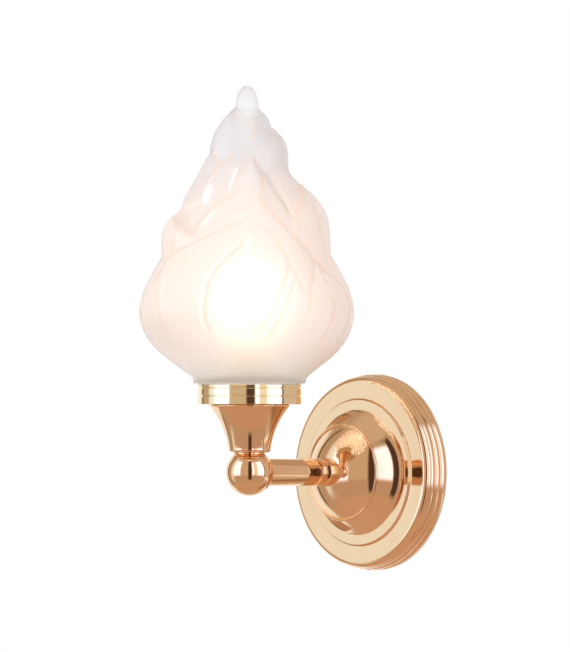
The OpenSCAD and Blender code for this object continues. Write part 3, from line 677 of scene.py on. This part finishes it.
def gallery_ring():
    """Paler ring with two fine grooves."""
    inside = RING_R - 1.4
    corners = [(18.0, CUP_TOP, 0.1), (RING_R, CUP_TOP, 0.22)]
    for up in (4.6, 9.0):
        middle = CUP_TOP + up
        corners += [(RING_R, middle - 0.5, 0.15), (RING_R - 0.5, middle - 0.2, 0.12),
                    (RING_R - 0.5, middle + 0.2, 0.12), (RING_R, middle + 0.5, 0.15)]
    corners += [(RING_R, RING_TOP, 0.25), (inside, RING_TOP, 0.2),
                (inside, CUP_TOP + 1.2, 0.1), (18.0, CUP_TOP + 1.2, 0.1)]
    ring = turned("gallery_ring_turned", rounded(corners), "pale_gold", False, 224)
    return settle(ring, "gallery_ring")


def glass_seal():
    """Silicone ring, a hair below the glass's foot so that their faces never share a plane."""
    top = GLASS_FOOT - 0.02
    points = rounded([(26.3, RING_TOP, 0.1), (28.0, RING_TOP, 0.2), (28.0, top, 0.2), (26.3, top, 0.1)])
    ring = turned("glass_seal_ring", points, "seal_silicone", False, 160)
    return settle(ring, "glass_seal", "glass_seal")


# ------------------------------------------------------------------ flame glass
FLAME_TURN = -44.25
ENVELOPE = np.array([
    (51.5, 45), (63.5, 44.2), (76.5, 42.6), (88.5, 39.8), (96.5, 36.6), (101.5, 33.8), (107.5, 29.8),
    (113.5, 26), (119.5, 23), (127.5, 20), (135.5, 16.2), (141.5, 13), (147.5, 9.6), (153.5, 6.6),
    (159.5, 4.5), (164, 1)])
# direction, tip height, half widths left and right, edge heights left and right, widest radius,
# its height, how far the edge stands out, how much the leaf is crowned, how much it bows out
LEAVES = [
    (10, 101, 74, 42, 68.5, 64.5, 58.4, 39.5, 2.4, 1, 1.8),
    (126, 81.5, 62, 62, 59.5, 57.5, 58.6, 39.5, 0.8, 1, 1.8),
    (-126, 81.5, 60, 60, 57.5, 59.5, 59.2, 39.5, 0.8, 1, 1.8),
    (7, 124.5, 40, 26, 92, 96.5, 45.4, 76.5, 1.2, 0.8, 1.6),
    (-92, 93.5, 46, 50, 80.5, 80.5, 46.7, 77.5, 1, 0.6, 2.6),
    (76, 110.5, 48, 60, 82.5, 85.5, 45.5, 75.5, 0.6, 0.8, 3.2),
    (180, 109.5, 62, 62, 82.5, 82.5, 46, 76.5, 1, 0.8, 2),
    (-62, 128.5, 60, 46, 100.5, 112.5, 34.9, 99.5, 1, 0.6, 1.1),
    (-120, 122.5, 50, 50, 99.5, 99.5, 35, 99.5, 0.8, 0.6, 1.3),
    (88, 141, 70, 70, 130.5, 128.5, 22.3, 124.5, 0, 0.2, 2.6),
    (160, 130.5, 60, 60, 108.5, 108.5, 30, 101.5, 0.8, 0.5, 1.5),
    (-74, 152.5, 90, 100, 141.5, 141.5, 20.3, 127.5, 0.8, 0.3, 1.8),
    (95, 150.5, 80, 70, 144.5, 144.5, 12.6, 142.5, 0, 0.2, 2.2),
]


# folds in the glass, each a soft ridge along which the glass's material paints warm lamp light, or a
# furrow with a painted
# highlight where its rise is below 0: its rise, its half width, and its direction at its heights
FOLDS = [
    (0.8, 1.1, (102, 10), (95, 16), (88, 25), (81, 34), (75, 45), (69, 50), (62, 45), (53, 38),
     (41, 36)),
    (0.8, 1.1, (94, 4), (90, -4), (85, -15), (81, -26), (76, -39), (72, -54), (67, -66), (60, -65),
     (50, -59), (39, -54), (28, -52)),
    (0.6, 1.0, (88, 5), (85, 13), (77, 20), (68, 25), (59, 30), (50, 33)),
    (0.8, 1.0, (77, -3), (69, -13), (62, -19), (53, -23), (44, -24), (34, -24), (28, -22)),
    (1.0, 1.1, (70, 26), (62, 25), (54, 21), (46, 17), (38, 13), (31, 9), (27, 5)),
    (0.7, 0.9, (56, 28), (52, 26), (41, 21), (31, 16), (25, 12)),
    (0.4, 0.8, (68, 4), (60, 0), (50, -1), (41, 0), (27, 3)),
    (0.6, 1.0, (124, 4), (120, -9), (113, -13), (107, -14)),
    (0.7, 1.1, (124, 9), (119, 16), (112, 17), (107, 16), (102, 10)),
    (0.8, 1.1, (106, -9), (99, -22), (92, -32), (86, -37), (80, -39)),
    (0.7, 1.1, (99, -42), (92, -56), (86, -60), (77, -58), (70, -60)),
    (0.6, 1.1, (126, -24), (121, -36), (114, -45), (108, -49), (101, -48)),
    (0.6, 1.0, (110, 46), (101, 45), (92, 42), (84, 41)),
    (0.6, 1.0, (102, 68), (96, 62), (86, 61), (76, 65), (69, 73)),
    (0.8, 1.2, (69, 53), (63, 66), (56, 74), (48, 76), (41, 75), (32, 71), (22, 66)),
    (0.6, 1.1, (50, 55), (44, 57), (36, 54), (28, 51), (20, 47)),
    (0.5, 1.2, (146, 21), (141, 18), (134, 9)),
    (0.6, 1.1, (137, 60), (130, 55), (122, 59), (113, 66)),
    (-0.6, 0.8, (95.5, 6), (92, -2), (88, -10)),
    (-0.6, 0.8, (89, -36), (80, -38)),
    (-0.7, 1.9, (108, -41), (99, -41)),
    (-0.6, 1.0, (79, 1), (71, -1)),
    (-0.6, 0.9, (119, -12), (112, -17), (107, -18)),
]
RIM = (0.45, 0.8, 1.3)       # rise of a leaf's rim, how far it lies inside the edge, half width
LEAN_TO = math.radians(FLAME_TURN + 90)


def above(v, soft):
    return (v + np.sqrt(v * v + soft * soft)) / 2


def leaf_radius(leaf, turn, h, fine):
    """Radius of one leaf of the flame, and how much of its rim is at a place."""
    aim, tip, left, right, left_edge, right_edge, wide, low, lift, crown, bow = leaf
    off = (turn - aim + 180) % 360 - 180
    part = off / np.where(off < 0, left, right)
    across = np.sqrt(part * part + 0.11 ** 2) - 0.11
    side = np.where(off < 0, left_edge, right_edge)
    edge = low + 3 + above(tip - (tip - side) * across - low - 3, 2.5)
    edge_r = np.interp(edge, ENVELOPE[:, 0], ENVELOPE[:, 1]) + lift
    climb = np.clip((h - low) / (edge - low), 0, 1)
    drop = np.maximum(low - h, 0)
    belly = low <= 39.5
    if belly:
        below = wide * np.sqrt(1 - (np.minimum(drop, 26) / 38.5) ** 2) - 1.36 * np.maximum(drop - 26, 0)
    else:
        below = wide * np.sqrt(np.maximum(1 - (drop / 90) ** 2, 0))
    fold = np.clip((h - 13.5) / 26, 0, 1)
    radius = np.where(h < low, below, wide - (wide - edge_r) * climb ** bow)
    side_drop = (4 if belly else 12) * np.maximum(across - 0.9, 0) ** 2
    radius = radius - fold * (crown * across ** 2 + side_drop)
    slope = (tip - side) / np.where(off < 0, left, right) / (np.maximum(wide, 12) * math.pi / 180)
    over = (h - edge) / np.sqrt(1 + slope ** 2)
    rim = np.exp(-((over + RIM[1]) / RIM[2]) ** 2)
    soft = 1.2 + 0.25 * np.clip(h - 138, 0, 16) if fine else 1.6
    return radius - 1.1 * above(h - edge, soft), rim


def folded(turn, h, radius):
    """Rise and strength of the soft folds of the front, repeated on the back; the strength is below 0 in
    the furrows, where the glass's material paints a highlight.
    """
    rise, strength, painted_highlight = 0 * radius, 0 * radius, 0 * radius
    arc = np.maximum(radius, 6) * math.pi / 180
    for high, width, *places in FOLDS:
        ups, aims = np.array(places[::-1], float).T
        fine = np.arange(ups[0] - 3, ups[-1] + 3, 0.5)
        curve = np.convolve(np.pad(np.interp(fine, ups, aims), 5, "edge"), np.ones(11) / 11, "valid")
        aim, lean = np.interp(h, fine, curve), np.interp(h, fine, np.gradient(curve, 0.5))
        ends = np.clip(np.minimum(h - ups[0], ups[-1] - h) / 4 + 0.6, 0, 1)
        for back in (0, 180):
            off = ((turn - back - (aim if back == 0 else -aim) + 180) % 360 - 180) * arc
            near = ends * np.exp(-(off / np.sqrt(1 + (lean * arc) ** 2) / width) ** 2)
            rise = rise + high * near
            if high > 0:
                strength = np.maximum(strength, near)
            else:
                painted_highlight = np.maximum(painted_highlight, near)
    return rise, strength - 1.5 * painted_highlight


def flame_surface(turn, h, fine=False):
    """Radius of the flame, and the strength of the folds and leaf rims in it, along which the glass's
    material paints warm lamp light and, in the furrows, highlights.
    """
    radius = 6 * np.sqrt(np.maximum(1 - (np.maximum(h - 151.5, 0) / 12.6) ** 2, 0)) + 0 * turn
    if fine:
        core = np.interp(h, ENVELOPE[:, 0], ENVELOPE[:, 1]) - 2.2 - np.maximum(62 - h, 0)
        radius = core + above(radius - core, 1.0)
    rims = 0 * radius
    for leaf in LEAVES:
        other, rim = leaf_radius(leaf, turn, h, fine)
        upper = 1 / (1 + np.exp(-(other - radius) / 0.6))
        radius = other + above(radius - other, 1.1 if fine else 1.6)
        rims = rims * (1 - upper) + rim * upper
    if fine:
        rise, strength = folded(turn, h, radius)
        calm = np.clip((h - 8) / 20, 0, 1) * np.clip((156 - h) / 20, 0, 1)
        radius = radius + (rise + RIM[0] * rims) * calm
        rims = np.where(strength < 0, strength, np.maximum(strength, 0.7 * rims)) * calm
    shoulder = 30.7 - 2 * np.maximum(h - 4.5, 0)
    return shoulder + above(radius - shoulder, 1.5), rims


def flame_point(turn, h, radius):
    world = np.radians(turn + FLAME_TURN)
    lean = 1.4 * np.clip(h / 40, 0, 1)
    up = GLASS_FOOT + h * GLASS_HEIGHT / FLAME_DESIGN_HEIGHT
    return np.stack([radius * np.cos(world) - lean * math.cos(LEAN_TO),
                     radius * np.sin(world) - lean * math.sin(LEAN_TO) - ARM_REACH, up + 0 * radius], -1)


def plain_circle(radius, up, turns):
    world = np.radians(turns + FLAME_TURN)
    return np.stack([radius * np.cos(world), radius * np.sin(world) - ARM_REACH, up + 0 * world], -1)


def on_lean_axis(up):
    return np.array([-1.4 * math.cos(LEAN_TO), -1.4 * math.sin(LEAN_TO) - ARM_REACH, up])


def glass_shade():
    """The blown flame: leaves outside, a smooth inside, and the neck in the ring."""
    sides = 320
    turns = np.arange(sides) * 360 / sides
    inside = np.repeat(np.linspace(146, 4, 64), sides).reshape(-1, sides)
    rings = list(flame_point(turns, inside, flame_surface(turns, inside)[0] - GLASS_WALL))
    bore = GLASS_NECK_R - GLASS_WALL
    for r, up in ((bore, GLASS_FOOT + 1), (bore, GLASS_FOOT - 8.1), (bore + 0.4, GLASS_FOOT - 8.5),
                  (GLASS_NECK_R - 0.4, GLASS_FOOT - 8.5), (GLASS_NECK_R, GLASS_FOOT - 8.1),
                  (GLASS_NECK_R, GLASS_FOOT), (29.6, GLASS_FOOT)):
        rings.append(plain_circle(r, up, turns))
    tip = 151 + 13.0 * np.sin(np.linspace(0.03, math.pi / 2 - 0.06, 26))
    plain = len(rings)
    heights = np.concatenate([[0.35], np.linspace(0.9, 151, 214), tip])
    outside = np.repeat(heights, sides).reshape(-1, sides)
    radius, ridge = flame_surface(turns, outside, True)
    rings += list(flame_point(turns, outside, radius))
    lids = np.stack([on_lean_axis(GLASS_FOOT + 148.0), on_lean_axis(GLASS_FOOT + GLASS_HEIGHT)])
    points = np.concatenate(rings + [lids]) * MM
    here = np.arange(sides)
    ahead = (here + 1) % sides
    quads = np.concatenate([np.stack([i + here, i + sides + here, i + sides + ahead, i + ahead], -1)
                            for i in range(0, (len(rings) - 1) * sides, sides)])
    last = len(rings) * sides
    ends = [(last, j, (j + 1) % sides) for j in range(sides)]
    ends += [(last - sides + j, last + 1, last - sides + (j + 1) % sides) for j in range(sides)]
    mesh = bpy.data.meshes.new("glass_shade_blown")
    mesh.from_pydata(points.tolist(), [], quads.tolist() + ends)
    mesh.polygons.foreach_set("use_smooth", np.ones(len(mesh.polygons), bool))
    mesh.materials.append(FINISHES["frosted_glass"])
    # the fold strength goes to the material as the attribute ridge, which paints warm lamp light on
    # folds and rims and highlights in the furrows
    ridges = np.zeros(len(points))
    ridges[plain * sides:len(rings) * sides] = ridge.ravel()
    mesh.attributes.new("ridge", "FLOAT", "POINT").data.foreach_set("value", ridges)
    outwards(mesh)
    return settle(new_object("glass_shade_blown", mesh), "glass_shade", "shade")


# ------------------------------------------------------------------ studio
def studio():
    """Pale floor that keeps the shadow, soft lamps, and a world that metal mirrors as a studio."""
    mesh = bpy.data.meshes.new("floor")
    reach, up = 4.0, -0.2
    corners = ((-reach, -reach), (reach, -reach), (reach, reach), (-reach, reach))
    mesh.from_pydata([(x, y, up) for x, y in corners], [], [(0, 1, 2, 3)])
    floor = new_object("floor", mesh)
    f = Finish("floor_paper", Roughness=0.9, Specular_IOR_Level=0.1)
    f.set("Base Color", f.mix(f.noise(3.0, 3.0), rgba(0.82, 0.80, 0.78), rgba(0.78, 0.76, 0.74)))
    rays = f.node("ShaderNodeLightPath")
    straight = rays.other("Is Camera Ray").math("MAXIMUM", rays.other("Is Transmission Ray"))
    white = f.node("ShaderNodeEmission", None, {"Color": rgba(1, 1, 1), "Strength": 1.0})
    x, y, z = f.part()
    far = ((x * x) + (y * y)).smooth(0.3, 9.0) ** 0.5
    factor = straight * (0.72 + far * 0.28)
    paper = Socket(f, f.shader.outputs[0])
    mixed = f.node("ShaderNodeMixShader", None, {0: factor, 1: paper, 2: white})
    f.tree.links.new(mixed.socket, f.tree.nodes["Material Output"].inputs["Surface"])
    mesh.materials.append(f.material)
    floor.visible_glossy = False
    studio_world()
    lamp("key_left", (-1.15, -0.75, 0.55), (0, -0.09, 0.06), 0.8, 0.9, 6.5)
    lamp("fill_right", (1.1, -1.1, 0.5), (0, -0.09, 0.06), 0.7, 0.9, 6.5)
    lamp("top_soft", (0.0, -0.3, 1.5), (0, -0.09, 0.06), 1.0, 1.0, 8.0)


def lamp(name, place, aim, width, height, power):
    data = bpy.data.lights.new(name, "AREA")
    data.shape = "RECTANGLE"
    data.size = width
    data.size_y = height
    data.energy = power
    made = bpy.data.objects.new(name, data)
    made.location = place
    made.rotation_euler = (Vector(aim) - Vector(place)).to_track_quat("-Z", "Y").to_euler()
    made.visible_glossy = False
    bpy.context.scene.collection.objects.link(made)


# what the metal mirrors, one layer over another: turn from the photograph's direction (low, high,
# softness), elevation (low, high, softness), colour; in degrees
LAYERS = [
    (-200, 200, 1, -95, -40, 8, (0.62, 0.40, 0.28)),
    (-200, 200, 1, 56, 95, 10, (0.66, 0.54, 0.42)),
    (81, 128, 3, -38, 60, 16, (0.67, 0.54, 0.45)),
    (104, 128, 5, -60, -30, 8, (0.39, 0.22, 0.14)),
    (104, 128, 5, 34, 70, 9, (0.55, 0.36, 0.26)),
    (84, 130, 3, -23, -17, 1.5, (1.1, 1.0, 0.86)),
    (-101, -80, 6, -30, 50, 9, (0.93, 1.01, 1.05)),
    (-84, -45, 5, -27, 47, 7, (1.40, 1.58, 2.15)),
    (-45, -8, 2, -30, 50, 6, (0.64, 0.50, 0.37)),
    (13, 77, 2, -27, 47, 6, (1.40, 1.58, 2.20)),
    (22, 40, 3, -27, 47, 6, (0.95, 0.86, 0.72)),
    (-90, 77, 9, -34, -13, 5, (0.56, 0.385, 0.29)),
    (77, 81, 1, -30, 50, 4, (0.14, 0.09, 0.06)),
    (-129, -124, 1, -30, 50, 4, (0.16, 0.10, 0.06)),
    (-7, 11, 2.5, -37, 56, 6, (0.085, 0.05, 0.035)),
]


BACKDROP_TURN = 133.0       # the white backdrop begins this far round from the camera, for metal too


def studio_world():
    world = bpy.data.worlds.new("studio")
    bpy.context.scene.world = world
    world.use_nodes = True
    t = Tree(world.node_tree)
    place = t.node("ShaderNodeTexCoord").other("Generated")
    right, near = (t.node("ShaderNodeVectorMath", {"operation": "DOT_PRODUCT"},
                          {0: place, 1: tuple(side)}).other("Value")
                   for side in (RIGHTWARDS, TOWARDS))
    up = t.node("ShaderNodeSeparateXYZ", None, {"Vector": place}).other("Z")
    turn = right.math("ARCTAN2", near) * (180 / math.pi)
    rise = up.math("ARCSINE") * (180 / math.pi)
    colour = rgba(0.52, 0.39, 0.29)
    for left, end, soft, low, high, blur, tone in LAYERS:
        mask = band(turn, left, end, soft) * band(rise, low, high, blur)
        colour = t.mix(mask, colour, rgba(*tone))
    behind = turn.math("ABSOLUTE").smooth(BACKDROP_TURN - 4, BACKDROP_TURN + 4) * band(rise, -40, 29, 6)
    rays = t.node("ShaderNodeLightPath")
    straight = rays.other("Is Camera Ray").math("MAXIMUM", rays.other("Is Transmission Ray"))
    straight = straight.math("MAXIMUM", rays.other("Is Glossy Ray") * behind)
    mirrored = t.node("ShaderNodeBackground", None, {"Color": colour, "Strength": 1.0})
    white = t.node("ShaderNodeBackground", None, {"Color": rgba(1, 1, 1), "Strength": 1.0})
    mixed = t.node("ShaderNodeMixShader", None, {0: straight, 1: mirrored, 2: white})
    t.tree.links.new(mixed.socket, t.tree.nodes["World Output"].inputs["Surface"])


def band(value, low, high, soft):
    """1 between low and high, 0 outside, with soft edges."""
    return value.smooth(low - soft, low + soft) * value.smooth(high + soft, high - soft)


def camera():
    data = bpy.data.cameras.new("photo")
    data.sensor_width = SENSOR
    data.lens = PX_PER_MM * CAMERA_M / MM * SENSOR / PHOTO[1]
    data.clip_end = 100
    made = bpy.data.objects.new("photo", data)
    middle = RIGHTWARDS * MIDDLE_RIGHT + Vector((0, 0, MIDDLE_UP))
    made.location = RIGHTWARDS * MIDDLE_RIGHT + TOWARDS * CAMERA_M
    made.rotation_euler = (middle - made.location).to_track_quat("-Z", "Y").to_euler()
    bpy.context.scene.collection.objects.link(made)
    bpy.context.scene.camera = made


# ------------------------------------------------------------------ finishes of the CAD nodes
def finish_nodes():
    """Gives each carried-over CAD node the finish of its slot."""
    slots = {s["node"]: s["material_slot"] for s in frame["record"]["subparts"]}
    for name, piece in frame["nodes"].items():
        slot = slots[name]
        if slot == "rose_gold" and name != "ball_knuckle":
            slot = "rose_gold_plate"
        piece.data.materials.clear()
        piece.data.materials.append(FINISHES[slot])


camera()
studio()
finish_nodes()
wall_plate()
dome_cap()
arm_ferrule()
arm_tube()
neck_collar()
torch_cup()
gallery_ring()
glass_seal()
glass_shade()
bpy.context.scene.view_settings.view_transform = "Standard"
bpy.context.view_layer.update()
